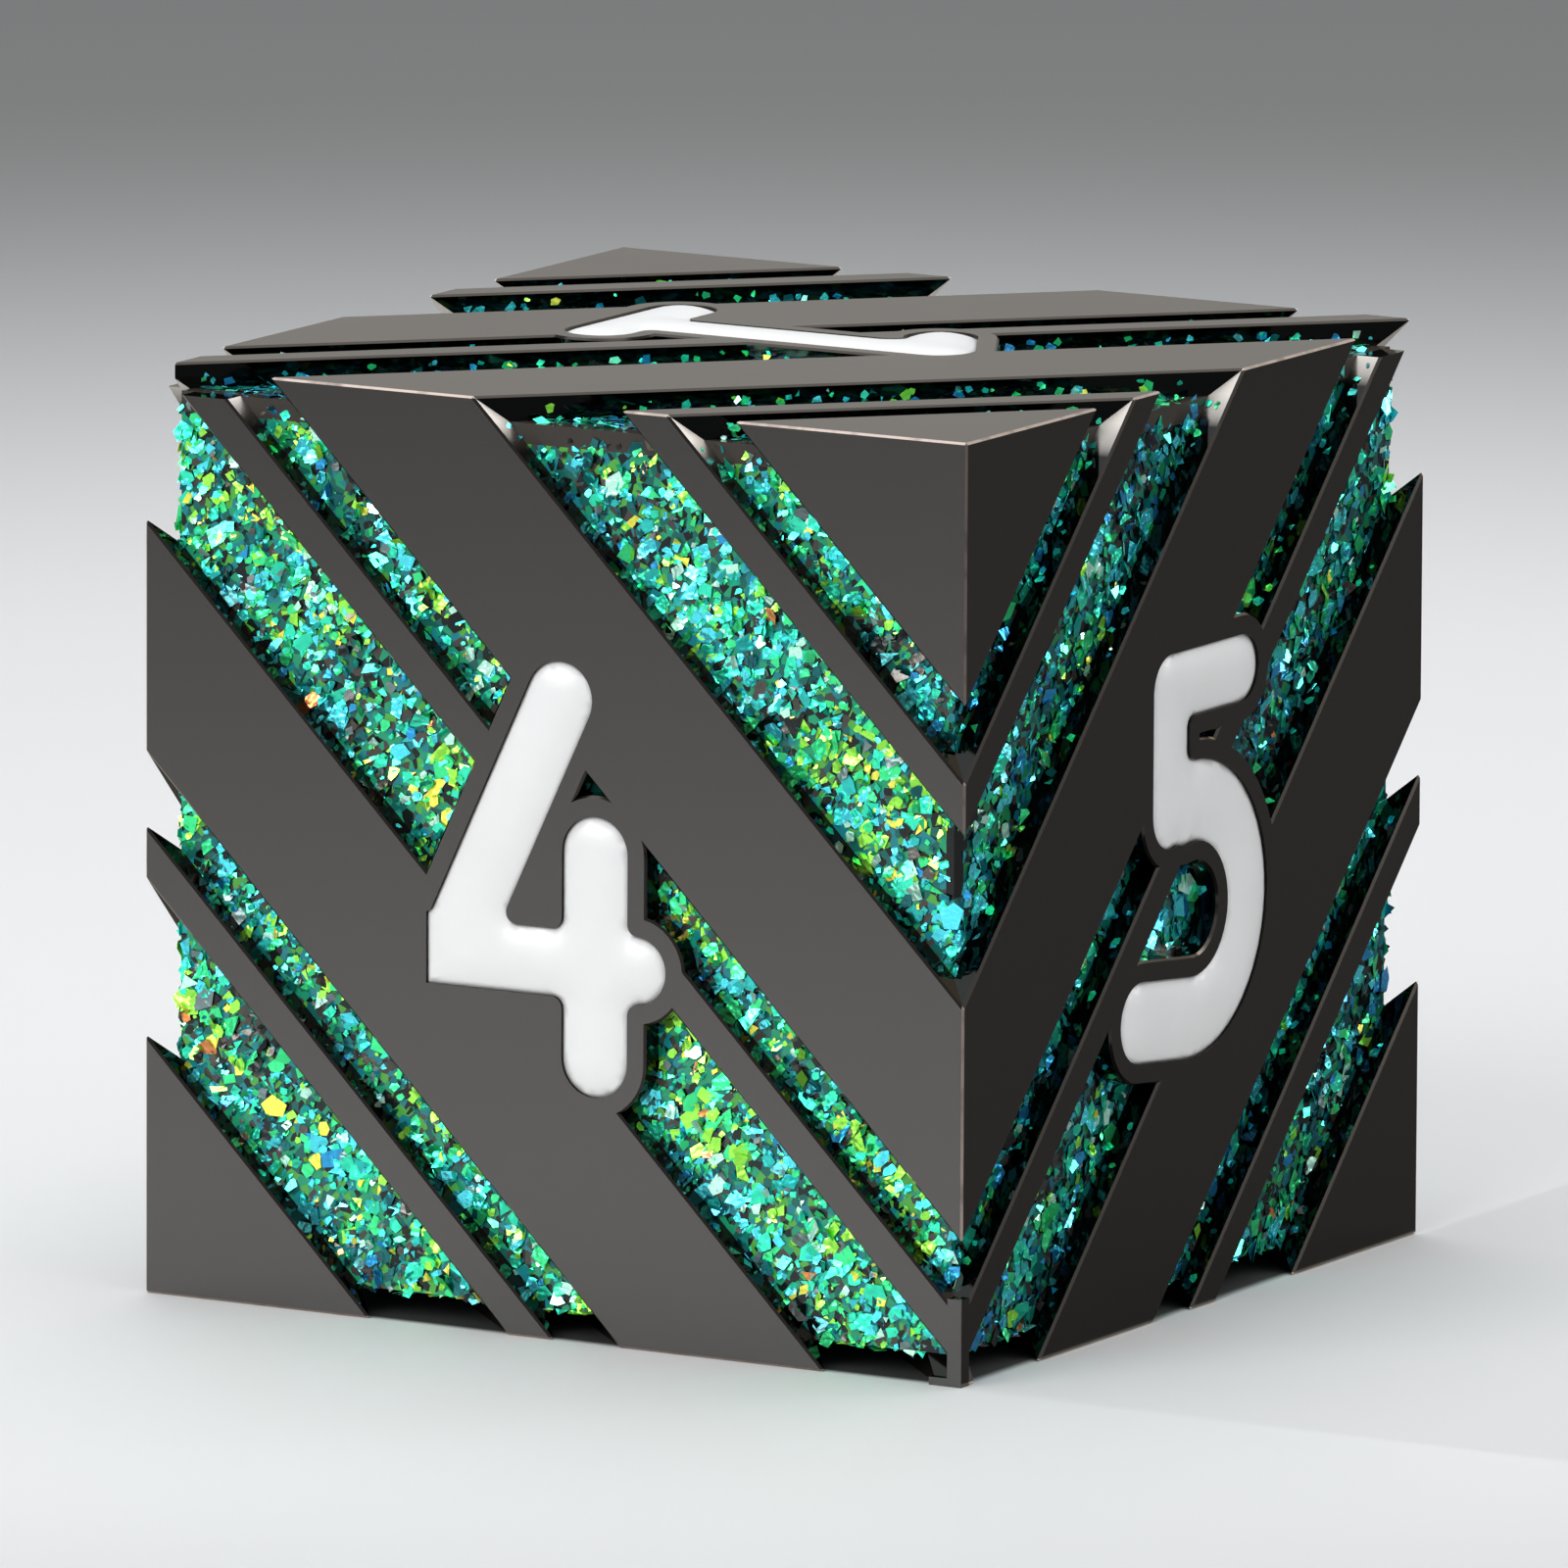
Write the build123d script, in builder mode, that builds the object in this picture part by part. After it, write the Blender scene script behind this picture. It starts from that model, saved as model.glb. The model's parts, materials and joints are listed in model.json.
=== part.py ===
from build123d import *
import os
from math import cos, radians, sin, sqrt

# A six-sided metal die. Each face carries broad diagonal lands parted by pairs of
# grooves, one narrow and one wide. Flake-filled resin lies in the grooves, below the
# lands, and white enamel fills the pocket of each numeral. The origin is the middle
# of the bottom face, +Z is up, and the numbers on opposite faces add up to seven.

# Driving dimensions, in millimetres
EDGE = 16.0              # side of the cube
BEVEL = 0.04             # broken edge around every land
GROOVE_DEPTH = 0.90      # cast depth of a groove, from the land
INLAY_DROP = 0.45        # from the land down to the resin
POCKET_DEPTH = 0.50      # cast depth of a numeral's pocket
ENAMEL_DROP = 0.02       # from the land down to the enamel
STROKE = 0.080 * EDGE    # width of a numeral's upright and bent strokes
BAR = 0.073 * EDGE       # width of a numeral's level strokes
BOWL = 0.088 * EDGE      # width of the five's round stroke
RIM = 0.0225 * EDGE      # metal wall left round a numeral where it crosses a groove
CREASE = 0.20            # radius in a numeral's inner corners
POST = 0.27              # side of the square post left at the foot of two corners
POST_HEIGHT = 1.5
SHOE = 0.62              # length and height of the ledge at the foot of a post
SHOE_HEIGHT = 0.14
TRIM = 0.27              # how far the top's middle strip stops short of one corner

# Widths of the diagonal stripes, measured along the cube's edge
CORNER = 0.280 * EDGE    # triangle left at the corner of a face
NARROW = 0.080 * EDGE    # narrow groove
STRIP = 0.057 * EDGE     # thin metal strip between a narrow and a wide groove
WIDE = 0.180 * EDGE      # wide groove
LAND = 0.250 * EDGE      # broad metal land
GROUP = NARROW + STRIP + WIDE
DIAGONAL = 2 * EDGE      # both edges of a face, from one corner to the opposite one
REST = DIAGONAL - 2 * (CORNER + GROUP + LAND) - NARROW - STRIP
FOOT = (DIAGONAL - 2 * (CORNER + REST + NARROW + LAND) - 3 * STRIP) / 2

# Stripes in order from a face's first corner. The last triangle is what remains.
GROOVES = (NARROW, WIDE, REST, FOOT)
SIDE_STRIPES = (CORNER, NARROW, STRIP, WIDE, LAND, NARROW, STRIP, WIDE, LAND, NARROW, STRIP, REST)
TOP_STRIPES = (CORNER, NARROW, STRIP, WIDE, LAND, REST, STRIP, NARROW, LAND, WIDE, STRIP, NARROW)
BOTTOM_STRIPES = (CORNER, REST, STRIP, NARROW, LAND, FOOT, STRIP, FOOT, LAND, NARROW, STRIP, REST)
TOP_MIDDLE = 2           # the top's middle groove, counted from zero

# Each face by its number: its middle, its own x direction, its outward normal, the
# direction on the face in which its stripes are counted, and the stripes themselves
MIDDLE = EDGE / 2
TO_LOWER_LEFT = 225
TO_LOWER_RIGHT = 315
FACES = {
    1: (Plane((0, 0, EDGE), x_dir=(0, -1, 0), z_dir=(0, 0, 1)), TO_LOWER_LEFT, TOP_STRIPES),
    2: (Plane((-MIDDLE, 0, MIDDLE), x_dir=(0, -1, 0), z_dir=(-1, 0, 0)), TO_LOWER_RIGHT, SIDE_STRIPES),
    3: (Plane((0, MIDDLE, MIDDLE), x_dir=(-1, 0, 0), z_dir=(0, 1, 0)), TO_LOWER_LEFT, SIDE_STRIPES),
    4: (Plane((0, -MIDDLE, MIDDLE), x_dir=(1, 0, 0), z_dir=(0, -1, 0)), TO_LOWER_LEFT, SIDE_STRIPES),
    5: (Plane((MIDDLE, 0, MIDDLE), x_dir=(0, 1, 0), z_dir=(1, 0, 0)), TO_LOWER_RIGHT, SIDE_STRIPES),
    6: (Plane((0, 0, 0), x_dir=(1, 0, 0), z_dir=(0, 0, -1)), TO_LOWER_RIGHT, BOTTOM_STRIPES),
}


def line(*points):
    """Centre line of a straight or bent stroke, its points in parts of the edge."""
    with BuildLine() as path:
        Polyline(*[(x * EDGE, y * EDGE) for x, y in points])
    return path.wire()


def bow(x, y, radius, start, sweep):
    """Centre line of a round stroke, in parts of the edge and degrees."""
    with BuildLine() as path:
        CenterArc((x * EDGE, y * EDGE), radius * EDGE, start, sweep)
    return path.wire()


# Centre lines of the numerals' strokes, from the middle of the face, with their widths
NUMERALS = {
    1: (
        (line((-0.118, 0.118), (-0.039, 0.160), (-0.039, -0.215)), STROKE),
        (line((-0.136, -0.215), (0.030, -0.215)), STROKE),
    ),
    2: (
        (bow(0.0, 0.085, 0.104, 165, -205), STROKE),
        (line((0.0797, 0.0182), (-0.112, -0.195)), STROKE),
        (line((-0.112, -0.195), (0.115, -0.195)), BAR),
    ),
    3: (
        (bow(0.0, 0.096, 0.094, 150, -240), STROKE),
        (bow(0.0, -0.090, 0.104, 90, -240), STROKE),
        (line((-0.035, 0.008), (0.0, 0.008)), BAR),
    ),
    4: (
        (line((0.010, 0.1875), (-0.1118, -0.0715)), STROKE),
        (line((-0.108, -0.0945), (0.104, -0.0945)), BAR),
        (line((0.054, 0.0255), (0.054, -0.195)), STROKE),
    ),
    5: (
        (line((0.098, 0.178), (-0.055, 0.178)), BAR),
        (line((-0.055, 0.175), (-0.055, 0.045)), STROKE),
        (line((-0.055, 0.045), (-0.0252, 0.0522)), STROKE),
        (bow(-0.0025, -0.0665, 0.1165, 100, -195), BOWL),
        (line((-0.0127, -0.1826), (-0.118, -0.172)), BOWL),
    ),
    6: (
        (bow(0.0, -0.085, 0.106, 0, 180), STROKE),
        (bow(0.0, -0.085, 0.106, 180, 180), STROKE),
        (bow(0.174, -0.085, 0.280, 180, -70), STROKE),
    ),
}
# Left, right, lower and upper sides of the four's sharp lower left corner, and of the
# metal that closes the gap between its strokes and the notch under its level stroke
FOUR_CORNER = (-0.152, -0.080, -0.131, -0.0545)
FOUR_GAP = (-0.030, 0.015, -0.050, 0.015)
FOUR_NOTCH = (-0.024, 0.005, -0.170, -0.140)


def numeral(value, grow=0):
    """Outline of a numeral, with every stroke wider by grow on each side."""
    with BuildSketch() as outline:
        for centre_line, width in NUMERALS[value]:
            SlotArc(centre_line, width + 2 * grow)
        if value == 4:
            add(patch(FOUR_CORNER, grow))
    return outline.sketch


def patch(sides, grow=0):
    """A rectangle from its left, right, lower and upper sides in parts of the edge."""
    left, right, low, high = [part * EDGE for part in sides]
    with BuildSketch() as outline:
        with Locations(((left + right) / 2, (low + high) / 2)):
            Rectangle(right - left + 2 * grow, high - low + 2 * grow)
    return outline.sketch


def creased_numeral(value):
    """Outline of a numeral's pocket, its inner corners rounded."""
    with BuildSketch() as outline:
        add(numeral(value))
        offset(amount=CREASE)
        offset(amount=-CREASE)
    return outline.sketch


def walled_numeral(value):
    """Outline of a numeral with the metal wall round it."""
    with BuildSketch() as outline:
        add(numeral(value, RIM))
        if value == 4:
            add(patch(FOUR_GAP))
            add(patch(FOUR_NOTCH))
    return outline.sketch


def wall_slopes(number):
    """The top of a numeral's wall, with sides sloping by 45 degrees to the face."""
    upper = FACES[number][0]
    lower = upper.offset(-BEVEL)
    with BuildPart() as slopes:
        for centre_line, width in NUMERALS[number]:
            with BuildSketch(upper):
                SlotArc(centre_line, width + 2 * (RIM - BEVEL))
            with BuildSketch(lower):
                SlotArc(centre_line, width + 2 * RIM)
            loft(ruled=True)
        if number == 4:
            with BuildSketch(upper):
                add(patch(FOUR_CORNER, RIM - BEVEL))
            with BuildSketch(lower):
                add(patch(FOUR_CORNER, RIM))
            loft(ruled=True)
            with BuildSketch(upper):
                add(patch(FOUR_GAP))
                add(patch(FOUR_NOTCH))
            extrude(amount=-BEVEL)
    return slopes.part


def groove_bands(stripes):
    """Start and width of each groove, measured along the edge from the first corner."""
    start = 0
    bands = []
    for width in stripes:
        if width in GROOVES:
            bands.append((start, width))
        start += width
    return bands


def band(direction, start, width, grow=0):
    """One diagonal band across a whole face, wider by grow on each side."""
    from_middle = (start + width / 2 - EDGE) / sqrt(2)
    centre = (from_middle * cos(radians(direction)), from_middle * sin(radians(direction)))
    with BuildSketch() as outline:
        with Locations(centre):
            Rectangle(width / sqrt(2) + 2 * grow, DIAGONAL, rotation=direction)
    return outline.sketch


def under_face(plane):
    """The space under a face down to the groove's floor, mitred to the next faces."""
    with BuildPart() as space:
        with BuildSketch(plane):
            Rectangle(EDGE, EDGE)
        extrude(amount=-GROOVE_DEPTH, taper=45)
    return space.part


def numeral_wall(number):
    """The metal left standing round a numeral, with a broken edge at its top."""
    plane = FACES[number][0]
    with BuildPart() as wall:
        with BuildSketch(plane.offset(-BEVEL)):
            add(walled_numeral(number))
        extrude(amount=BEVEL - GROOVE_DEPTH)
        add(wall_slopes(number))
    return wall.part


def face_grooves(number):
    """All the grooves of a face, with broken edges, clear of the numeral's wall."""
    plane, direction, stripes = FACES[number]
    with BuildPart() as space:
        with BuildSketch(plane):
            for start, width in groove_bands(stripes):
                add(band(direction, start, width))
        extrude(amount=-GROOVE_DEPTH)
        for start, width in groove_bands(stripes):
            with BuildSketch(plane):
                add(band(direction, start, width, BEVEL))
            extrude(amount=-BEVEL, taper=45)
        add(numeral_wall(number), mode=Mode.SUBTRACT)
        add(under_face(plane), mode=Mode.INTERSECT)
    return space.part


def numeral_pocket(number):
    """The pocket of a numeral."""
    plane = FACES[number][0]
    with BuildPart() as space:
        with BuildSketch(plane):
            add(creased_numeral(number))
        extrude(amount=-POCKET_DEPTH)
    return space.part


def groove_fill(number, start, width):
    """The resin in one groove, from the groove's floor up to its sunken surface."""
    plane, direction, stripes = FACES[number]
    with BuildPart() as fill:
        with BuildSketch(plane.offset(-GROOVE_DEPTH)):
            add(band(direction, start, width))
            add(walled_numeral(number), mode=Mode.SUBTRACT)
        extrude(amount=GROOVE_DEPTH - INLAY_DROP)
        add(under_face(plane), mode=Mode.INTERSECT)
    return fill.part


# The top's middle groove runs out over the ends of the side faces' thin strips, and
# the thin strip next to it stops short of one of the two corners it points at
top_plane, top_direction, top_stripes = FACES[1]
top_start, top_width = groove_bands(top_stripes)[TOP_MIDDLE]
with BuildPart() as run_out:
    with BuildSketch(top_plane):
        add(band(top_direction, top_start, top_width))
        add(numeral(1, RIM), mode=Mode.SUBTRACT)
    extrude(amount=-INLAY_DROP)
    with BuildSketch(top_plane):
        add(band(top_direction, top_start, top_width + STRIP + INLAY_DROP))
        with Locations((0, (TRIM - EDGE) / 2)):
            Rectangle(EDGE, TRIM, mode=Mode.INTERSECT)
    extrude(amount=-INLAY_DROP)

# The feet at the two corners where the lowest strips of the side faces meet
with BuildPart() as feet:
    for side in (1, -1):
        with Locations((side * MIDDLE, -side * MIDDLE, 0)):
            Box(2 * POST, 2 * POST, POST_HEIGHT, align=(Align.CENTER, Align.CENTER, Align.MIN))
            Box(2 * SHOE, 2 * POST, SHOE_HEIGHT, align=(Align.CENTER, Align.CENTER, Align.MIN))
    Box(EDGE, EDGE, EDGE, align=(Align.CENTER, Align.CENTER, Align.MIN), mode=Mode.INTERSECT)

# The casting: a cube with broken edges, its grooves and its numeral pockets
with BuildPart() as metal_body:
    Box(EDGE, EDGE, EDGE, align=(Align.CENTER, Align.CENTER, Align.MIN))
    chamfer(metal_body.edges(), BEVEL)
    for number in FACES:
        add(face_grooves(number), mode=Mode.SUBTRACT)
        add(numeral_pocket(number), mode=Mode.SUBTRACT)
    add(run_out.part, mode=Mode.SUBTRACT)
    add(feet.part)

os.makedirs("parts", exist_ok=True)
metal_body.part.label = "metal_body"
export_step(metal_body.part, "parts/metal_body.step")

# The enamel in each numeral's pocket
for number, (plane, direction, stripes) in FACES.items():
    with BuildPart() as enamel:
        with BuildSketch(plane.offset(-POCKET_DEPTH)):
            add(creased_numeral(number))
        extrude(amount=POCKET_DEPTH - ENAMEL_DROP)
    name = f"numeral_{number}"
    enamel.part.label = name
    export_step(enamel.part, f"parts/{name}.step")

# The resin in each groove, poured and cured one face at a time
for number, (plane, direction, stripes) in FACES.items():
    for order, (start, width) in enumerate(groove_bands(stripes), start=1):
        fill = groove_fill(number, start, width)
        name = f"inlay_{number}_{order}"
        fill.label = name
        export_step(fill, f"parts/{name}.step")
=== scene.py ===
import json
import math
import random

import bpy
from mathutils import Matrix, Vector, noise
from mathutils.bvhtree import BVHTree
from mathutils.geometry import delaunay_2d_cdt


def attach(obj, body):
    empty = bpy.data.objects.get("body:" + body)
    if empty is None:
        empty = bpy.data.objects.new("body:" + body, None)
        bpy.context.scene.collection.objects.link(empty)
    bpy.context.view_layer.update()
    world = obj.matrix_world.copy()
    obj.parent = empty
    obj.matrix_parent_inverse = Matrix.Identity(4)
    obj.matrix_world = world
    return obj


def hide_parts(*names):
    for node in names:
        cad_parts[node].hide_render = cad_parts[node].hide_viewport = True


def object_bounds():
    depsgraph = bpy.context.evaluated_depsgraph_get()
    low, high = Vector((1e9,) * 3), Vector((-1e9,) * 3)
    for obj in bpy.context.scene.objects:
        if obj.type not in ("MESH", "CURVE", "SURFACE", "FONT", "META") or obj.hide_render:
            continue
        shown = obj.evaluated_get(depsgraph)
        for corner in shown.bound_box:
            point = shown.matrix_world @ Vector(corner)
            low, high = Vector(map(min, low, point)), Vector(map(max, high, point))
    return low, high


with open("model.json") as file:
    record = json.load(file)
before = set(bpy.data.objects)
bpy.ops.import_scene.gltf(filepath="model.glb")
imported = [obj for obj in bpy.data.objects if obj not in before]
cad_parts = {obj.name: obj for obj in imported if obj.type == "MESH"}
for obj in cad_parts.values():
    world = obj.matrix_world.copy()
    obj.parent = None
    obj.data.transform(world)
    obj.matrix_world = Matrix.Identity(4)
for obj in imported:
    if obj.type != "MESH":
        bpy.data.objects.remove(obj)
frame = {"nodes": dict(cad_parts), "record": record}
cad_low, cad_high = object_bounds()

# A six-sided die of dark plated metal. Foil flakes lie in the resin of its sunken
# diagonal grooves, and white enamel swells in its numerals' pockets. Face 1 looks up,
# face 4 along -Y and face 5 along +X. Lengths are in metres and angles in degrees.

MM = 0.001
EDGE = cad_high[2] - cad_low[2]
MIDDLE = Vector((0, 0, EDGE / 2))
FACE_NUMBERS = range(1, 7)
GROOVES_PER_FACE = 6
NORMALS = {
    int(mount["name"].split("_")[1]): Vector(mount["axis"])
    for mount in frame["record"]["mounts"]
}

# Width of the broken edge round every land, and how far below it the resin lies
BEVEL = 0.04 * MM
INLAY_DROP = 0.45 * MM
# Corners of triangles closer than this are one corner
SAME_PLACE = 0.001 * MM
# Least cosine between a triangle's normal and its face's, if the triangle lies flat
LIES_FLAT = 0.99


# ---------------------------------------------------------------- small helpers


def tangents(normal):
    """Two directions in a face, square to each other and to its normal."""
    first = normal.orthogonal().normalized()
    return first, normal.cross(first)


def upper_triangles(node, normal):
    """Triangles of a CAD node that look out of the die's face."""
    mesh = frame["nodes"][node].data
    mesh.calc_loop_triangles()
    return [
        [mesh.vertices[i].co.copy() for i in triangle.vertices]
        for triangle in mesh.loop_triangles
        if triangle.normal.dot(normal) > LIES_FLAT
    ]


def rounded(point):
    """A key that is the same for corners in the same place."""
    return tuple(round(value / SAME_PLACE) for value in point)


def border_of(faces):
    """The edges that only one of the faces has, running the way that face does."""
    seen = {}
    for face in faces:
        for edge in zip(face, face[1:] + face[:1]):
            seen[edge] = True
    return [(first, second) for first, second in seen if (second, first) not in seen]


def outline_of(triangles):
    """Points and border edges of a flat patch of triangles."""
    places, points, faces = {}, [], []
    for triangle in triangles:
        for point in triangle:
            if rounded(point) not in places:
                places[rounded(point)] = len(points)
                points.append(point)
        faces.append([places[rounded(point)] for point in triangle])
    return points, border_of(faces)


def islands_of(triangles):
    """The separate patches that a set of flat triangles forms, as lists of triangles."""
    patches = []
    for triangle in triangles:
        keys = {rounded(point) for point in triangle}
        members = [triangle]
        apart = []
        for patch_keys, patch in patches:
            if keys & patch_keys:
                keys |= patch_keys
                members += patch
            else:
                apart.append((patch_keys, patch))
        patches = apart + [(keys, members)]
    return [patch for _, patch in patches]


def area_of(triangles):
    """Total area of a set of triangles."""
    return sum((b - a).cross(c - a).length / 2 for a, b, c in triangles)


def add_piece(name, points, faces):
    """A closed mesh that rides on the die."""
    mesh = bpy.data.meshes.new(name)
    mesh.from_pydata(points, [], faces)
    mesh.update()
    piece = bpy.data.objects.new(name, mesh)
    bpy.context.scene.collection.objects.link(piece)
    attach(piece, "root")
    return piece


def dress(node, material):
    """Give a CAD node its material."""
    node.data.materials.clear()
    node.data.materials.append(material)


# ----------------------------------------------------------------- shader nodes


def new_material(name):
    """A node material with its Principled shader."""
    material = bpy.data.materials.new(name)
    material.use_nodes = True
    return material, material.node_tree, material.node_tree.nodes["Principled BSDF"]


def add_node(tree, kind, **values):
    """A shader node, with its properties or its inputs' values set."""
    node = tree.nodes.new(kind)
    for key, value in values.items():
        if key in node.inputs:
            node.inputs[key].default_value = value
        else:
            setattr(node, key, value)
    return node


def feed(tree, socket, value):
    """Link an output socket to an input socket, or set the input to a constant."""
    if isinstance(value, bpy.types.NodeSocket):
        tree.links.new(value, socket)
    else:
        socket.default_value = value


def math_node(tree, operation, first, *others):
    """A Math operation between the first value and each of the others in turn."""
    result = first
    for other in others or (None,):
        node = add_node(tree, "ShaderNodeMath", operation=operation)
        feed(tree, node.inputs[0], result)
        if other is not None:
            feed(tree, node.inputs[1], other)
        result = node.outputs[0]
    return result


def mapped(tree, value, span, onto=(0.0, 1.0), interpolation="LINEAR"):
    """A value's place in a span, as the same place in another span."""
    node = add_node(tree, "ShaderNodeMapRange", interpolation_type=interpolation)
    node.inputs["From Min"].default_value = span[0]
    node.inputs["From Max"].default_value = span[1]
    node.inputs["To Min"].default_value = onto[0]
    node.inputs["To Max"].default_value = onto[1]
    tree.links.new(value, node.inputs["Value"])
    return node.outputs[0]


def mixed(tree, share, first, second):
    """A colour between the first and the second, by the share of the second."""
    node = add_node(tree, "ShaderNodeMix", data_type="RGBA")
    feed(tree, node.inputs["Factor"], share)
    feed(tree, node.inputs["A"], first)
    feed(tree, node.inputs["B"], second)
    return node.outputs["Result"]


def shaded_point(tree):
    """The shaded point in its object's own coordinates, which are the die's."""
    return add_node(tree, "ShaderNodeTexCoord").outputs["Object"]


def axes_of(tree, vector):
    """The x, y and z of a vector socket."""
    split = add_node(tree, "ShaderNodeSeparateXYZ")
    tree.links.new(vector, split.inputs[0])
    return split.outputs[0], split.outputs[1], split.outputs[2]


def noise_at(tree, **values):
    """Noise over the die, from 0 to 1."""
    texture = add_node(tree, "ShaderNodeTexNoise", **values)
    tree.links.new(shaded_point(tree), texture.inputs["Vector"])
    return texture.outputs[0]


# --------------------------------------------------------------- the die's metal

GUNMETAL = (0.078, 0.075, 0.072, 1)
# The groove walls' painted shade, and the lighter painted glint at their upper ends
WALL_PAINTED_SHADE = (0.014, 0.015, 0.015, 1)
WALL_END_PAINTED_GLINT = (0.52, 0.49, 0.46, 1)
# Lighter colour on the cube's broken edges: wear, and also a painted highlight
WORN_EDGE_AND_HIGHLIGHT = (0.35, 0.29, 0.26, 1)
GROOVE_EDGE = (0.042, 0.037, 0.033, 1)
METAL_GLARE = (1.0, 0.93, 0.84, 1)
# Roughness of the plating, how much smoother the grooves are and how much rougher the upper ends
# of their walls, where a glint is painted
PLATING_ROUGHNESS = (0.14, 0.19)
GROOVE_SMOOTHER = 0.10
GLINT_END_ROUGHER = 0.50
# Patches in the gloss and scuffs on the edges, in noise cells per metre
CLOUD_SCALE = 260.0
SCUFF_SCALE = 2600.0
SCUFF_SPAN = (0.0, 0.50)
# Least and most depth that still counts as a broken edge
BEVEL_SPAN = (0.03 * BEVEL, 1.03 * BEVEL)
# Groove walls carry a painted glint where they come this near the cube's upper edges, and a
# painted shade farther off
GLINT_END_SPAN = (EDGE - 0.40 * MM, EDGE - 0.90 * MM)
# The z of a groove wall's normal, on the upright faces, and how far off it may be
WALL_SLOPE = math.sqrt(0.5)
WALL_SLACK = 0.2


def groove_wall_shade(tree, z, middling):
    """Where a groove's walls are painted dark as their shade: all but their upper ends, which
    carry a painted glint.
    """
    upper_end = math_node(tree, "MINIMUM", z, math_node(tree, "ADD", middling, EDGE / 2))
    off_ends = mapped(tree, upper_end, GLINT_END_SPAN)
    normal = add_node(tree, "ShaderNodeNewGeometry").outputs["True Normal"]
    steepness = math_node(tree, "ABSOLUTE", axes_of(tree, normal)[2])
    off_slope = math_node(tree, "ABSOLUTE", math_node(tree, "SUBTRACT", steepness, WALL_SLOPE))
    elsewhere = math_node(tree, "GREATER_THAN", off_slope, WALL_SLACK)
    return math_node(tree, "MAXIMUM", off_ends, elsewhere)


def gunmetal():
    """Black nickel, with wear and a painted highlight on the cube's edges; the grooves' walls are
    painted dark as their shade, with a painted glint at their upper ends.
    """
    material, tree, shader = new_material("black_nickel")
    x, y, z = axes_of(tree, shaded_point(tree))
    from_middle = (
        math_node(tree, "ABSOLUTE", x),
        math_node(tree, "ABSOLUTE", y),
        math_node(tree, "ABSOLUTE", math_node(tree, "SUBTRACT", z, EDGE / 2)),
    )
    most = math_node(tree, "MAXIMUM", *from_middle)
    least = math_node(tree, "MINIMUM", *from_middle)
    total = math_node(tree, "ADD", *from_middle)
    middling = math_node(tree, "SUBTRACT", total, most, least)
    depth = math_node(tree, "SUBTRACT", EDGE / 2, most)

    # Broken edges are dark along the grooves; along the edges of the cube they show wear, which
    # is also a painted highlight
    below_land = math_node(tree, "GREATER_THAN", depth, BEVEL_SPAN[0])
    above_wall = math_node(tree, "LESS_THAN", depth, BEVEL_SPAN[1])
    on_bevel = math_node(tree, "MULTIPLY", below_land, above_wall)
    on_outside = math_node(tree, "GREATER_THAN", middling, EDGE / 2 - BEVEL_SPAN[1])
    scuffs = mapped(tree, noise_at(tree, Scale=SCUFF_SCALE, Detail=2.0), SCUFF_SPAN)
    wear_and_highlight = math_node(tree, "MULTIPLY", on_outside, scuffs)
    plating = mixed(tree, on_bevel, GUNMETAL, mixed(tree, wear_and_highlight, GROOVE_EDGE, WORN_EDGE_AND_HIGHLIGHT))

    in_groove = math_node(tree, "GREATER_THAN", depth, BEVEL_SPAN[1])
    # Groove walls are painted dark as their shade, and lighter at their upper ends as a painted
    # glint
    wall_shade_share = groove_wall_shade(tree, z, middling)
    walls = mixed(tree, wall_shade_share, WALL_END_PAINTED_GLINT, WALL_PAINTED_SHADE)
    feed(tree, shader.inputs["Base Color"], mixed(tree, in_groove, plating, walls))

    clouds = noise_at(tree, Scale=CLOUD_SCALE, Detail=4.0, Roughness=0.55)
    roughness = mapped(tree, clouds, (0.0, 1.0), PLATING_ROUGHNESS)
    smoother = math_node(tree, "MULTIPLY", in_groove, GROOVE_SMOOTHER)
    glint_ends = math_node(tree, "MULTIPLY", in_groove, math_node(tree, "SUBTRACT", 1.0, wall_shade_share))
    rougher = math_node(tree, "MULTIPLY", glint_ends, GLINT_END_ROUGHER)
    smoothed_roughness = math_node(tree, "SUBTRACT", roughness, smoother)
    feed(tree, shader.inputs["Roughness"], math_node(tree, "ADD", smoothed_roughness, rougher))
    shader.inputs["Metallic"].default_value = 1.0
    shader.inputs["Specular Tint"].default_value = METAL_GLARE
    return material


# ------------------------------------------------------------------- the enamel

ENAMEL_SHADES = ((0.80, 0.80, 0.79, 1), (0.88, 0.88, 0.875, 1))
# Uneven tone, in noise cells per metre
ENAMEL_CLOUD_SCALE = 900.0


def enamel():
    """Glossy white enamel, a little uneven where it dried."""
    material, tree, shader = new_material("white_enamel")
    tone = add_node(tree, "ShaderNodeValToRGB")
    for stop, shade in zip(tone.color_ramp.elements, ENAMEL_SHADES):
        stop.color = shade
    tree.links.new(noise_at(tree, Scale=ENAMEL_CLOUD_SCALE, Detail=3.0), tone.inputs[0])
    tree.links.new(tone.outputs[0], shader.inputs["Base Color"])
    shader.inputs["Roughness"].default_value = 0.30
    shader.inputs["Specular IOR Level"].default_value = 0.25
    return material


# -------------------------------------------------------------------- the resin

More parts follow.
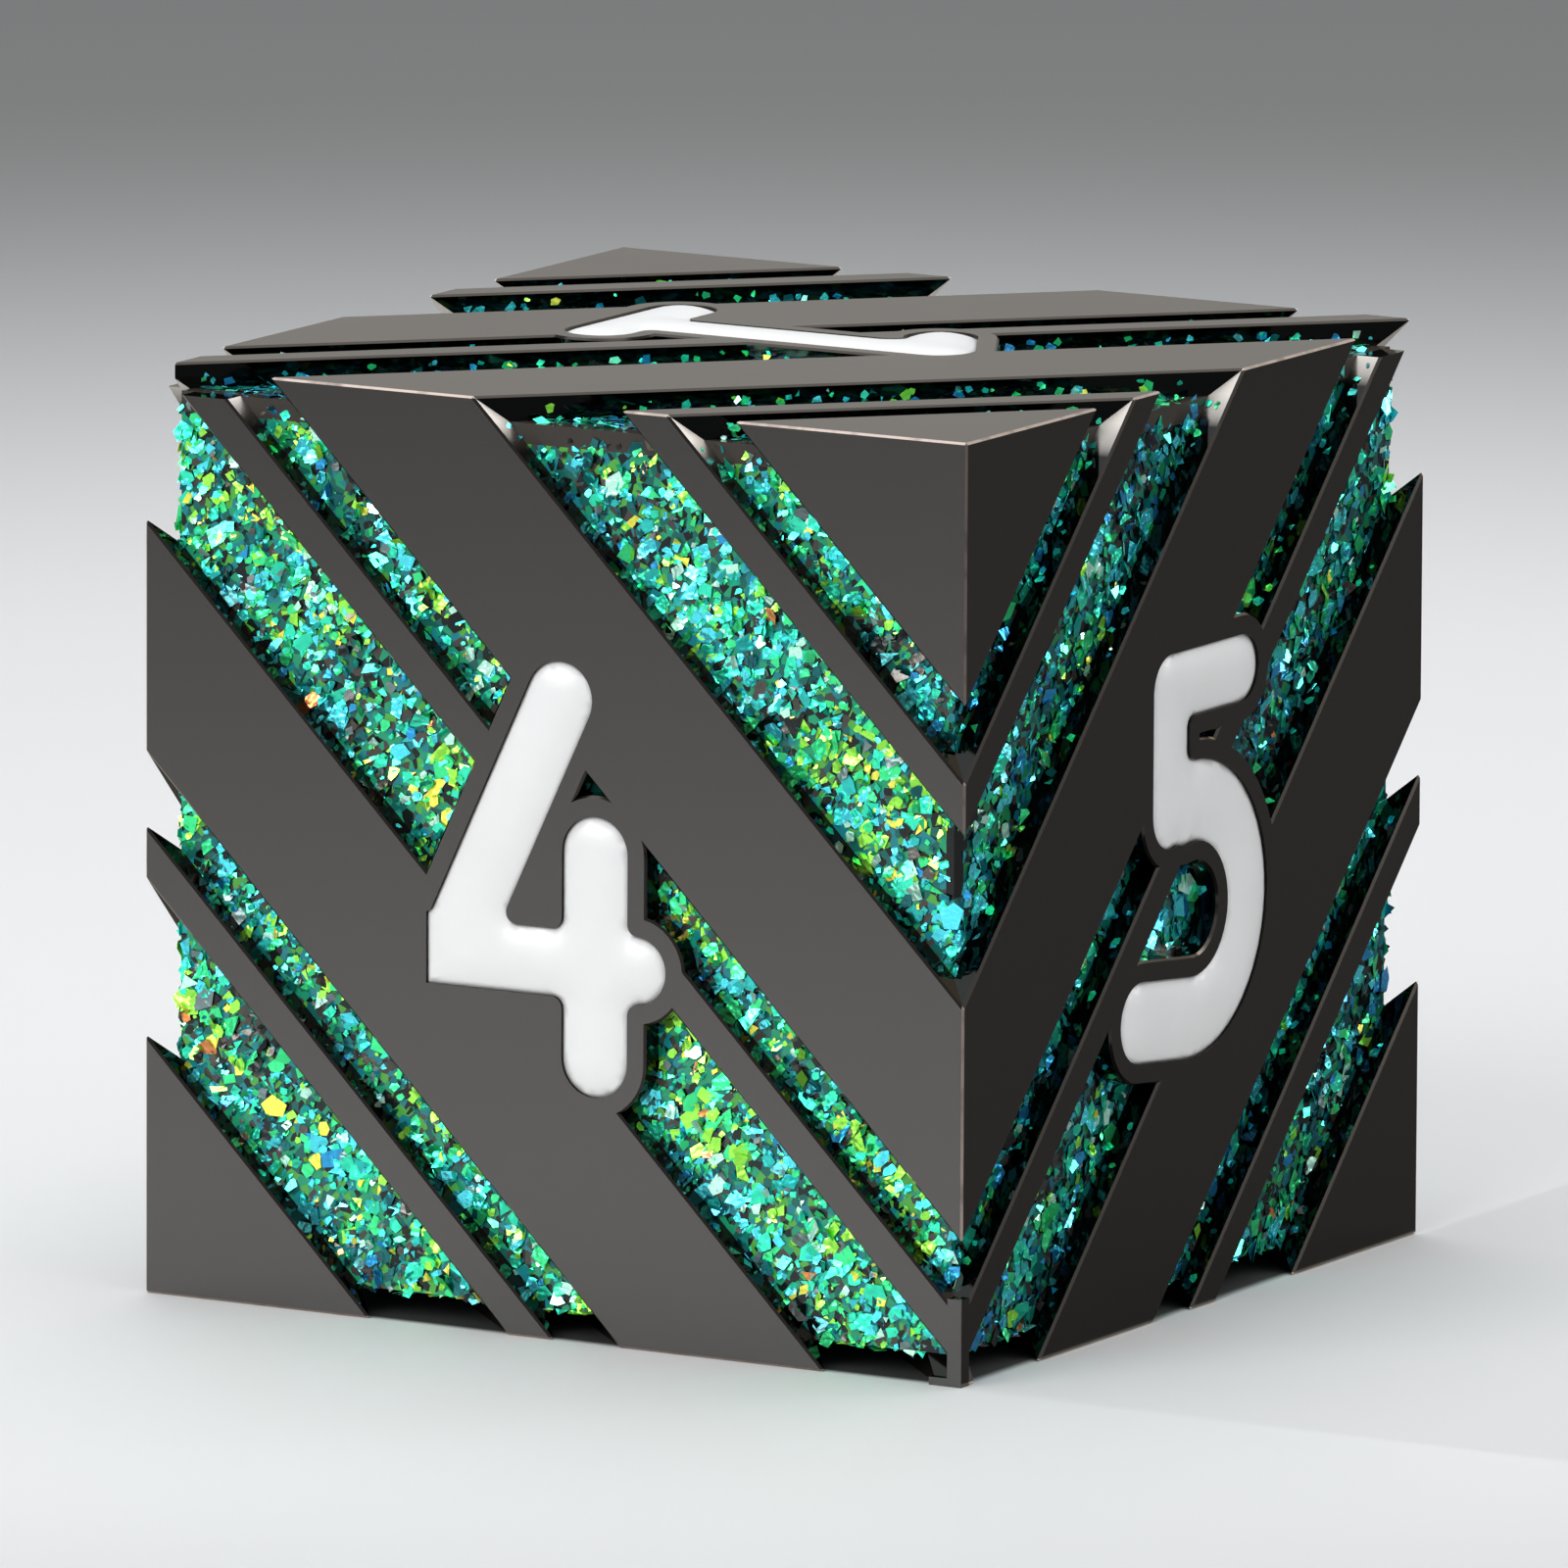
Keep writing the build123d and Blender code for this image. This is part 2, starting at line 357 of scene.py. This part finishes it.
# Shades of the deep flakes, each with the share of the cells that have a darker one
PACKED_DARKEST = (0.003, 0.010, 0.009, 1)
PACKED_TINTS = (
    (0.22, (0.006, 0.130, 0.110, 1)),
    (0.42, (0.015, 0.340, 0.170, 1)),
    (0.62, (0.010, 0.240, 0.280, 1)),
    (0.76, (0.090, 0.420, 0.060, 1)),
    (0.88, (0.060, 0.058, 0.050, 1)),
)
LOOSE_DARKEST = (0.002, 0.005, 0.005, 1)
LOOSE_TINTS = (
    (0.40, (0.004, 0.080, 0.074, 1)),
    (0.56, (0.006, 0.160, 0.110, 1)),
    (0.72, (0.004, 0.100, 0.140, 1)),
    (0.84, (0.012, 0.170, 0.060, 1)),
    (0.92, (0.030, 0.028, 0.026, 1)),
)
# Faces packed with greener foil; the others hold looser, bluer foil
PACKED_FACES = (2, 4, 6)
DEEP_FLAKE_SIZE = 0.14 * MM

# Resin without flakes along the cube's upper edges
BARE_END = 0.35 * MM
BARE_RESIN = (0.045, 0.038, 0.032, 1)
# A near-black band of painted shade in the resin of the two front faces, beside the corner
# between them, where no flakes lie
CORNER_SHADE_HEIGHT = (8.20 * MM, 9.40 * MM)
CORNER_SHADE_LEFT = INLAY_DROP + 0.15 * MM
CORNER_SHADE_RIGHT = INLAY_DROP + 0.33 * MM
CORNER_PAINTED_SHADE = (0.002, 0.003, 0.003, 1)


def resin_bed(name, darkest, tints):
    """Dark clear resin with the small and deep flakes that never reached its surface."""
    material, tree, shader = new_material(name)
    cells = add_node(tree, "ShaderNodeTexVoronoi", Scale=1 / DEEP_FLAKE_SIZE)
    tree.links.new(shaded_point(tree), cells.inputs["Vector"])
    lot = add_node(tree, "ShaderNodeSeparateColor")
    tree.links.new(cells.outputs["Color"], lot.inputs[0])
    tint = add_node(tree, "ShaderNodeValToRGB")
    tint.color_ramp.interpolation = "CONSTANT"
    stops = tint.color_ramp.elements
    stops[0].position, stops[0].color = 0.0, darkest
    stops[1].position, stops[1].color = tints[0]
    for position, shade in tints[1:]:
        stops.new(position).color = shade
    tree.links.new(lot.outputs[0], tint.inputs[0])

    x, y, z = axes_of(tree, shaded_point(tree))
    sideways = math_node(
        tree, "MAXIMUM", math_node(tree, "ABSOLUTE", x), math_node(tree, "ABSOLUTE", y)
    )
    near_edge = math_node(tree, "MINIMUM", math_node(tree, "ADD", sideways, EDGE / 2), z)
    at_end = math_node(tree, "GREATER_THAN", near_edge, EDGE - BARE_END - INLAY_DROP)
    ended = mixed(tree, at_end, tint.outputs[0], BARE_RESIN)

    # Near-black painted shade beside the corner of the two front faces
    in_corner_shade = math_node(
        tree,
        "MULTIPLY",
        math_node(tree, "GREATER_THAN", x, EDGE / 2 - CORNER_SHADE_LEFT),
        math_node(tree, "LESS_THAN", y, CORNER_SHADE_RIGHT - EDGE / 2),
        math_node(tree, "GREATER_THAN", z, CORNER_SHADE_HEIGHT[0]),
        math_node(tree, "LESS_THAN", z, CORNER_SHADE_HEIGHT[1]),
    )
    feed(tree, shader.inputs["Base Color"], mixed(tree, in_corner_shade, ended, CORNER_PAINTED_SHADE))
    shader.inputs["Roughness"].default_value = 0.12
    shader.inputs["Specular IOR Level"].default_value = 0.3
    return material


# --------------------------------------------------------------------- the foil

# Foil colours as (name, colour, metallic, roughness)
FOILS = (
    ("green", (0.04, 0.78, 0.26, 1), 0.75, 0.28),
    ("sea_green", (0.03, 0.80, 0.50, 1), 0.75, 0.28),
    ("teal", (0.02, 0.50, 0.46, 1), 0.80, 0.30),
    ("deep_teal", (0.005, 0.13, 0.14, 1), 0.80, 0.30),
    ("cyan", (0.08, 0.78, 0.90, 1), 0.75, 0.25),
    ("blue", (0.02, 0.30, 0.62, 1), 0.80, 0.28),
    ("leaf", (0.34, 0.92, 0.08, 1), 0.70, 0.30),
    ("yellow", (0.90, 0.88, 0.10, 1), 0.65, 0.30),
    ("orange", (0.70, 0.26, 0.08, 1), 0.70, 0.30),
    ("pearl", (0.55, 1.00, 0.82, 1), 0.60, 0.25),
    ("smoke", (0.07, 0.065, 0.055, 1), 0.70, 0.35),
    ("black", (0.004, 0.007, 0.007, 1), 0.70, 0.30),
    ("haze", (0.13, 0.20, 0.20, 1), 0.40, 0.35),
)
# How often each foil colour shows, in the order above: in the resin of the imported faces and of
# the others, on the walls of the side faces' grooves and in the band of painted shade below those
# walls, where darker foils paint the shade, and on the walls of the top's grooves
GREEN_MIX = (26, 26, 7, 2.5, 12, 1.5, 18, 5, 0.6, 6, 2, 1.5, 3)
BLUE_MIX = (14, 26, 14, 6, 26, 12, 2, 0.3, 0.1, 3, 0.4, 6, 0.4)
WALL_AND_SHADE_MIX = (11, 16, 14, 13, 14, 7, 2, 0.3, 0, 0.5, 1, 3, 0)
TOP_WALL_MIX = (22, 20, 8, 4, 26, 6, 8, 2, 0, 4, 0, 0, 0)
# How far each foil colour gathers in the greener patches, and in the brighter patches
FOIL_WARMTH = (0.6, -0.2, -0.6, -0.6, -1.0, -1.0, 1.0, 1.0, 0.5, 0.0, 0.0, 0.0, -0.3)
FOIL_GLOW = (0.4, 0.4, 0.0, -1.0, 0.5, -0.5, 0.5, 0.5, 0.0, 1.0, -1.0, -1.0, 0.2)
PATCH_SIZE = 0.9 * MM
PATCH_STRENGTH = 3.0
SWATH_SIZE = 2.6 * MM
SWATH_STRENGTH = 2.5
# Where the brighter patches' noise starts, so that they differ from the greener ones
GLOW_OFFSET = Vector((40, 7, 19))
CRUMPLE_SIZE = 0.14 * MM
CRUMPLE_HEIGHT = 0.030 * MM


def foil_at(rng, mix, spot):
    """A foil colour for one flake: like colours gather in loose patches."""
    warmth = PATCH_STRENGTH * noise.noise(spot / PATCH_SIZE)
    glow = PATCH_STRENGTH * noise.noise(spot / PATCH_SIZE + GLOW_OFFSET)
    glow += SWATH_STRENGTH * noise.noise(spot / SWATH_SIZE)
    weights = [
        share * math.exp(warmth * warm + glow * bright)
        for share, warm, bright in zip(mix, FOIL_WARMTH, FOIL_GLOW)
    ]
    return rng.choices(range(len(mix)), weights)[0]


def foil(name, colour, metallic, roughness):
    """One colour of crumpled foil under the clear resin."""
    material, tree, shader = new_material(f"foil_{name}")
    shader.inputs["Base Color"].default_value = colour
    shader.inputs["Metallic"].default_value = metallic
    shader.inputs["Roughness"].default_value = roughness
    shader.inputs["Coat Weight"].default_value = 0.3
    shader.inputs["Coat Roughness"].default_value = 0.06
    bump = add_node(tree, "ShaderNodeBump", Strength=1.0, Distance=CRUMPLE_HEIGHT)
    tree.links.new(noise_at(tree, Scale=1 / CRUMPLE_SIZE, Detail=1.0), bump.inputs["Height"])
    tree.links.new(bump.outputs[0], shader.inputs["Normal"])
    return material


# -------------------------------------------------------------------- the flakes

# Flakes per square metre of resin, by face, and their usual radius
FLAKE_DENSITY = {1: 50e6, 2: 72e6, 3: 38e6, 4: 72e6, 5: 38e6, 6: 60e6}
FLAKE_RADIUS = {
    1: 0.12 * MM,
    2: 0.105 * MM,
    3: 0.13 * MM,
    4: 0.105 * MM,
    5: 0.13 * MM,
    6: 0.105 * MM,
}
FLAKE_SPREAD = 0.42
FLAKE_LIMITS = (0.045 * MM, 0.26 * MM)
FLAKE_THICKNESS = 0.006 * MM
FLAKE_TILT = 0.26
FLAKE_RISE = (-0.035 * MM, 0.045 * MM)
# Shape of a scrap: its corners, how slim it is, and how uneven in angle and reach
FLAKE_CORNERS = (3, 4, 4, 5, 5, 6)
FLAKE_SLIMNESS = (0.65, 1.0)
FLAKE_SKEW = 0.28
FLAKE_REACH = (0.72, 1.15)
# Flakes stop unevenly at the bare ends, at these shares of their width
BARE_END_SHARES = (0.3, 1.3)
# No flakes reach the pools of resin smaller than this, in square metres
SMALLEST_POOL = 0.4 * MM ** 2
# Width of the band of painted shade along the lower wall of a groove, by face, where flakes take
# the darker wall foils
PAINTED_SHADE_BAND = {1: 0, 2: 0.40 * MM, 3: 0.20 * MM, 4: 0.40 * MM, 5: 0.20 * MM, 6: 0}
# Flakes per metre of groove wall, by face, which stay clear of the groove's ends
WALL_FLAKES = {1: 4600, 2: 800, 3: 1800, 4: 800, 5: 1800, 6: 800}
WALL_FLAKE_RADIUS = (0.04 * MM, 0.13 * MM)
WALL_HEIGHT = 0.40 * MM
WALL_CLEARANCE = 0.012 * MM
# A wall flake's middle stays this far above the resin and below the land, in its radii
WALL_MARGINS = (0.2, 1.2)
GROOVE_END = 0.46 * MM
FIRST_SEED = 1000


def flake_outline(rng, radius):
    """Corners of a torn scrap of foil, flat, round the origin."""
    corners = rng.choice(FLAKE_CORNERS)
    slimness = rng.uniform(*FLAKE_SLIMNESS)
    turn = rng.uniform(0, math.tau)
    outline = []
    for corner in range(corners):
        angle = turn + math.tau * (corner + rng.uniform(-FLAKE_SKEW, FLAKE_SKEW)) / corners
        reach = radius * rng.uniform(*FLAKE_REACH)
        outline.append((reach * math.cos(angle), slimness * reach * math.sin(angle)))
    return outline


def add_flake(scraps, rng, centre, across, along, facing, radius, shade):
    """One thin flake, as a closed prism, added to the points, faces and shades of scraps."""
    points, faces, shades = scraps
    turn = rng.uniform(0, math.tau)
    axis = across * math.cos(turn) + along * math.sin(turn)
    tilt = Matrix.Rotation(rng.gauss(0, FLAKE_TILT), 3, axis)
    outline = flake_outline(rng, radius)
    corners = len(outline)
    start = len(points)
    for side in (0.5, -0.5):
        lift = facing * (side * FLAKE_THICKNESS)
        points += [centre + tilt @ (across * x + along * y + lift) for x, y in outline]
    upper = [start + corner for corner in range(corners)]
    lower = [start + corners + corner for corner in range(corners)]
    faces.append(upper)
    faces.append(lower[::-1])
    for corner in range(corners):
        after = (corner + 1) % corners
        faces.append((upper[corner], lower[corner], lower[after], upper[after]))
    shades += [shade] * (corners + 2)


def lower_side(normal, triangles):
    """Direction down across a side face's groove, and how far the resin reaches that way."""
    points, border = outline_of(triangles)
    steps = [points[second] - points[first] for first, second in border]
    along = max(steps, key=lambda step: step.length).normalized()
    down = normal.cross(along)
    if down.z > 0:
        down.negate()
    return down, max(point.dot(down) for point in points)


def in_painted_corner_shade(spot):
    """Whether a spot lies in the band of painted shade beside the corner of the two front faces.
    """
    beside = spot.x > EDGE / 2 - CORNER_SHADE_LEFT and -spot.y > EDGE / 2 - CORNER_SHADE_RIGHT
    return beside and CORNER_SHADE_HEIGHT[0] < spot.z < CORNER_SHADE_HEIGHT[1]


def flakes_in_resin(scraps, rng, number, triangles):
    """The flakes that lie at the surface of the resin in one groove."""
    normal = NORMALS[number]
    across, along = tangents(normal)
    down, reach = lower_side(normal, triangles)
    areas = [area_of([triangle]) for triangle in triangles]
    mix = GREEN_MIX if number in PACKED_FACES else BLUE_MIX
    for a, b, c in rng.choices(triangles, areas, k=int(FLAKE_DENSITY[number] * sum(areas))):
        first, second = sorted((rng.random(), rng.random()))
        spot = a * first + b * (second - first) + c * (1 - second)
        near_edge = min(max(abs(spot.x), abs(spot.y)) + EDGE / 2, spot.z)
        if EDGE - INLAY_DROP - near_edge < BARE_END * rng.uniform(*BARE_END_SHARES):
            continue
        # No flakes in the painted shade at the front corner
        if in_painted_corner_shade(spot):
            continue
        # Flakes near a groove's lower wall take the darker wall foils: painted shade
        in_painted_shade = reach - spot.dot(down) < PAINTED_SHADE_BAND[number] * rng.random()
        shade = foil_at(rng, WALL_AND_SHADE_MIX if in_painted_shade else mix, spot)
        radius = FLAKE_RADIUS[number] * math.exp(rng.gauss(0, FLAKE_SPREAD))
        radius = min(max(radius, FLAKE_LIMITS[0]), FLAKE_LIMITS[1])
        centre = spot + normal * rng.uniform(*FLAKE_RISE)
        add_flake(scraps, rng, centre, across, along, normal, radius, shade)


def flakes_on_walls(scraps, rng, number, triangles):
    """The few flakes that cling to the walls of the grooves, above the resin."""
    normal = NORMALS[number]
    # The side faces' wall flakes take darker foils, which paint the walls' shade
    mix = TOP_WALL_MIX if number == 1 else WALL_AND_SHADE_MIX
    points, border = outline_of(triangles)
    for first, second in border:
        start, step = points[first], points[second] - points[first]
        middle = start + step / 2 - MIDDLE
        if sorted(abs(value) for value in middle)[1] > EDGE / 2 - GROOVE_END:
            continue
        along = step.normalized()
        facing = normal.cross(along)
        share = step.length * WALL_FLAKES[number]
        count = int(share) + (rng.random() < share % 1)
        for _ in range(count):
            radius = rng.uniform(*WALL_FLAKE_RADIUS)
            low, high = WALL_MARGINS[0] * radius, WALL_HEIGHT - WALL_MARGINS[1] * radius
            rise = rng.uniform(low, high)
            spot = start + step * rng.random() + normal * rise
            shade = foil_at(rng, mix, spot)
            centre = spot + facing * WALL_CLEARANCE
            add_flake(scraps, rng, centre, along, normal, facing, radius, shade)


def flakes(number, materials):
    """All the foil flakes of a face."""
    rng = random.Random(FIRST_SEED + number)
    scraps = ([], [], [])
    for order in range(1, GROOVES_PER_FACE + 1):
        groove = upper_triangles(f"inlay_{number}_{order}", NORMALS[number])
        flakes_on_walls(scraps, rng, number, groove)
        pools = []
        for island in islands_of(groove):
            if area_of(island) > SMALLEST_POOL:
                pools += island
        flakes_in_resin(scraps, rng, number, pools)
    points, faces, shades = scraps
    piece = add_piece(f"flakes_{number}", points, faces)
    for material in materials:
        piece.data.materials.append(material)
    piece.data.polygons.foreach_set("material_index", shades)


# --------------------------------------------------------------- domed numerals

# The mesh's step, and how near the rim its inner points may come, in steps
ENAMEL_STEP = 0.14 * MM
ENAMEL_MARGIN = 0.45
# The enamel rises by the dome over the shoulder's width, from a little below its rim
ENAMEL_DOME = 0.13 * MM
ENAMEL_SHOULDER = 0.62 * MM
ENAMEL_EDGE_DROP = 0.045 * MM
ENAMEL_DEPTH = 0.30 * MM
# Tolerance of the triangulation, and the height above a flat shape to look down from
TINY = 1e-9
LOOKOUT = 1


def inside_test(triangles):
    """A test for whether a flat point lies in any of the triangles."""
    corners = [corner for triangle in triangles for corner in triangle]
    faces = [(3 * i, 3 * i + 1, 3 * i + 2) for i in range(len(triangles))]
    tree = BVHTree.FromPolygons(corners, faces)
    down = Vector((0, 0, -1))
    return lambda spot: tree.ray_cast(Vector((spot.x, spot.y, LOOKOUT)), down)[0] is not None


def segments_of(points, edges):
    """Each edge as its start, its step and its length squared, without the empty ones."""
    segments = []
    for first, second in edges:
        step = points[second] - points[first]
        if step.length_squared > 0:
            segments.append((points[first], step, step.length_squared))
    return segments


def distance_to(point, segments):
    """Shortest distance from a flat point to any of the segments."""
    best = 1.0
    for start, step, length_squared in segments:
        share = (point - start).dot(step) / length_squared
        share = min(max(share, 0.0), 1.0)
        best = min(best, (point - start - step * share).length_squared)
    return math.sqrt(best)


def spots_inside(rim, segments, inside):
    """Points in staggered rows inside a rim, clear of the rim itself."""
    low = Vector((min(point.x for point in rim), min(point.y for point in rim)))
    high = Vector((max(point.x for point in rim), max(point.y for point in rim)))
    rows = int((high.y - low.y) / ENAMEL_STEP) + 1
    columns = int((high.x - low.x) / ENAMEL_STEP) + 1
    spots = []
    for row in range(rows):
        shift = 0.5 * (row % 2)
        for column in range(columns):
            spot = low + Vector((column + shift, row)) * ENAMEL_STEP
            if inside(spot) and distance_to(spot, segments) > ENAMEL_MARGIN * ENAMEL_STEP:
                spots.append(spot)
    return spots


def flat_mesh(rim, edges, spots, inside):
    """Points and faces of a flat mesh through the rim and the spots inside it."""
    points, _, triangles, *_ = delaunay_2d_cdt(rim + spots, edges, [], 0, TINY)
    faces = []
    for triangle in triangles:
        centre = sum((points[i] for i in triangle), Vector((0, 0))) / len(triangle)
        if inside(centre):
            faces.append(list(triangle))
    return points, faces


def numeral(number, material):
    """The enamel of a numeral: it clings low to the pocket's wall and swells in the middle."""
    normal = NORMALS[number]
    across, along = tangents(normal)
    triangles = upper_triangles(f"numeral_{number}", normal)
    corners, border = outline_of(triangles)
    level = corners[0].dot(normal)
    used = sorted({index for edge in border for index in edge})
    renamed = {index: place for place, index in enumerate(used)}
    rim = [Vector((corners[i].dot(across), corners[i].dot(along))) for i in used]
    edges = [(renamed[first], renamed[second]) for first, second in border]
    segments = segments_of(rim, edges)
    inside = inside_test(
        [[Vector((c.dot(across), c.dot(along), 0)) for c in triangle] for triangle in triangles]
    )
    spots = spots_inside(rim, segments, inside)
    flat_points, upper = flat_mesh(rim, edges, spots, inside)

    top, bottom = [], []
    for spot in flat_points:
        reach = min(distance_to(spot, segments) / ENAMEL_SHOULDER, 1.0)
        swell = ENAMEL_DOME * (1 - (1 - reach) ** 2) - ENAMEL_EDGE_DROP
        base = across * spot.x + along * spot.y
        top.append(base + normal * (level + swell))
        bottom.append(base + normal * (level - ENAMEL_DEPTH))
    a, b, c = [top[i] for i in upper[0]]
    if (b - a).cross(c - a).dot(normal) < 0:
        upper = [face[::-1] for face in upper]
    count = len(top)
    lower = [[i + count for i in face[::-1]] for face in upper]
    walls = [(second, first, first + count, second + count) for first, second in border_of(upper)]
    piece = add_piece(f"enamel_{number}", top + bottom, upper + lower + walls)
    piece.data.materials.append(material)
    for index, polygon in enumerate(piece.data.polygons):
        polygon.use_smooth = index < len(upper)
    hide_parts(f"numeral_{number}")


# --------------------------------------------------------------------- the die

dress(frame["nodes"]["metal_body"], gunmetal())
packed = resin_bed("packed_resin", PACKED_DARKEST, PACKED_TINTS)
loose = resin_bed("loose_resin", LOOSE_DARKEST, LOOSE_TINTS)
foils = [foil(*values) for values in FOILS]
white = enamel()
for number in FACE_NUMBERS:
    for order in range(1, GROOVES_PER_FACE + 1):
        bed = packed if number in PACKED_FACES else loose
        dress(frame["nodes"][f"inlay_{number}_{order}"], bed)
    flakes(number, foils)
    numeral(number, white)


# ------------------------------------------------------ floor, light and camera

# The camera's direction from the die, its distance, and its lens in millimetres
AZIMUTH = 29.92
ELEVATION = 9.83
ROLL = 0.287
DISTANCE = 24.88 * EDGE
LENS = 533.7
SENSOR = 36
# Where the camera aims, from the middle of the die, to its right and upwards
AIM_RIGHT = -0.0041 * EDGE
AIM_UP = 0.0215 * EDGE

FLOOR_SIZE = 400 * EDGE
PALE_FLOOR = (0.80, 0.80, 0.80, 1)
PAINTED_FALLOFF_FLOOR = (0.24, 0.235, 0.23, 1)
# The floor's painted pool of light dims over this span of distances from a place in front of the
# die
DIM_FROM = 2 * EDGE
DIM_SPAN = (2.0 * EDGE, 7.0 * EDGE)
# Under the die the floor carries a painted contact shadow, which fades to pale at the outline of
# the die
UNDER_DIE_PAINTED_SHADOW = (0.03, 0.03, 0.03, 1)
UNDER_SPAN = (EDGE / 2, EDGE / 2 - 0.30 * MM)

# A dark card on the table: its near and far sides, its height and its colour
CARD_SIDES = (0.505 * EDGE, 9 * EDGE)
CARD_HEIGHT = 0.002 * EDGE
CARD_BLACK = (0.05, 0.05, 0.05, 1)

SKY_COLOUR = (0.93, 0.96, 1.0, 1)
SKY_STRENGTH = 0.50
# The sky is dim towards this azimuth, over this span of cosines from it
DIM_SKY_AZIMUTH = 150
DIM_SKY_SPAN = (0.50, 0.95)
DIM_SKY_SHARE = 0.1


def from_angles(azimuth, elevation):
    """Unit direction from the die towards a viewer or lamp at these angles."""
    turn, rise = math.radians(azimuth), math.radians(elevation)
    level = math.cos(rise)
    return Vector((math.sin(turn) * level, -math.cos(turn) * level, math.sin(rise)))


def vector_value(tree, operation, vector, constant):
    """A Vector Math result that is one number, between a socket and a constant."""
    node = add_node(tree, "ShaderNodeVectorMath", operation=operation)
    tree.links.new(vector, node.inputs[0])
    node.inputs[1].default_value = constant
    return node.outputs["Value"]


def add_sheet(name, corners, material):
    """A flat rectangle on the stage."""
    mesh = bpy.data.meshes.new(name)
    mesh.from_pydata(corners, [], [(0, 1, 2, 3)])
    mesh.materials.append(material)
    sheet = bpy.data.objects.new(name, mesh)
    bpy.context.scene.collection.objects.link(sheet)
    return sheet


def floor():
    """A pale table top with a painted pool of light that dims far behind the die, and a painted
    shadow right under it.
    """
    material, tree, shader = new_material("pale_floor")
    front = from_angles(AZIMUTH + 180, 0) * DIM_FROM
    distance = vector_value(tree, "DISTANCE", shaded_point(tree), front)
    # Painted pool of light: the floor dims away from a place in front of the die
    dim = mapped(tree, distance, DIM_SPAN, interpolation="SMOOTHSTEP")
    x, y, _ = axes_of(tree, shaded_point(tree))
    sideways = math_node(
        tree, "MAXIMUM", math_node(tree, "ABSOLUTE", x), math_node(tree, "ABSOLUTE", y)
    )
    # Painted contact shadow under the die
    under = mapped(tree, sideways, UNDER_SPAN, interpolation="SMOOTHSTEP")
    open_floor = mixed(tree, dim, PALE_FLOOR, PAINTED_FALLOFF_FLOOR)
    feed(tree, shader.inputs["Base Color"], mixed(tree, under, open_floor, UNDER_DIE_PAINTED_SHADOW))
    shader.inputs["Roughness"].default_value = 0.6
    half = FLOOR_SIZE / 2
    corners = [(-half, -half, 0), (half, -half, 0), (half, half, 0), (-half, half, 0)]
    table_top = add_sheet("floor", corners, material)


def dark_card():
    """A dark card to the right of the die, seen only in its reflections."""
    material, tree, shader = new_material("dark_card")
    shader.inputs["Base Color"].default_value = CARD_BLACK
    shader.inputs["Roughness"].default_value = 0.9
    near, far = CARD_SIDES
    corners = [(near, -near), (far, -near), (far, far), (near, far)]
    card = add_sheet("dark_card", [(x, y, CARD_HEIGHT) for x, y in corners], material)
    for kind in ("camera", "diffuse", "shadow", "transmission", "volume_scatter"):
        setattr(card, f"visible_{kind}", False)


def sky():
    """Soft light from all round, dim towards the back right."""
    world = bpy.data.worlds.new("studio")
    world.use_nodes = True
    tree = world.node_tree
    background = tree.nodes["Background"]
    background.inputs["Color"].default_value = SKY_COLOUR
    towards = add_node(tree, "ShaderNodeTexCoord").outputs["Generated"]
    cosine = vector_value(tree, "DOT_PRODUCT", towards, from_angles(DIM_SKY_AZIMUTH, 0))
    strengths = (SKY_STRENGTH, DIM_SKY_SHARE * SKY_STRENGTH)
    strength = mapped(tree, cosine, DIM_SKY_SPAN, strengths, interpolation="SMOOTHSTEP")
    tree.links.new(strength, background.inputs["Strength"])
    bpy.context.scene.world = world


def softbox(name, azimuth, elevation, distance, width, height, power, sparkle=False):
    """A soft lamp that faces the die, its sizes in edges of the die and its power in watts.

    A sparkle lamp shows in reflections but doesn't brighten dull surfaces."""
    light = bpy.data.lights.new(name, "AREA")
    light.shape = "RECTANGLE"
    light.size = width * EDGE
    light.size_y = height * EDGE
    light.energy = power
    lamp = bpy.data.objects.new(name, light)
    lamp.visible_diffuse = not sparkle
    direction = from_angles(azimuth, elevation)
    lamp.location = MIDDLE + direction * distance * EDGE
    lamp.rotation_euler = direction.to_track_quat("Z", "Y").to_euler()
    bpy.context.scene.collection.objects.link(lamp)


def camera():
    """A long lens, a little above the table, turned towards the corner between two faces."""
    lens = bpy.data.cameras.new("camera")
    lens.lens = LENS
    lens.sensor_width = SENSOR
    lens.clip_start = 0.01
    eye = bpy.data.objects.new("camera", lens)
    away = from_angles(AZIMUTH, ELEVATION)
    right = Vector((math.cos(math.radians(AZIMUTH)), math.sin(math.radians(AZIMUTH)), 0))
    up = away.cross(right)
    target = MIDDLE + right * AIM_RIGHT + up * AIM_UP
    roll = Matrix.Rotation(math.radians(ROLL), 3, "Z")
    turn = Matrix((right, up, away)).transposed() @ roll
    eye.matrix_world = Matrix.Translation(target + away * DISTANCE) @ turn.to_4x4()
    bpy.context.scene.collection.objects.link(eye)
    bpy.context.scene.camera = eye


floor()
dark_card()
sky()
softbox("key", -8, 34, 9, 7, 7, 0.110)
softbox("top", 200, 75, 9, 8, 8, 0.12)
softbox("fill", 80, 30, 12, 8, 8, 0.03)
softbox("rim", 138, 14, 12, 4, 4, 0.04)
softbox("sparkle_left", -30, 20, 11, 8, 4, 0.30, sparkle=True)
softbox("sparkle_right", 126, 30, 11, 9, 6, 0.34, sparkle=True)
softbox("back", 168, 30, 11, 3, 3, 0.008, sparkle=True)
softbox("edge", -71, 58, 10, 3, 3, 0.015, sparkle=True)
camera()
bpy.context.scene.view_settings.view_transform = "Standard"
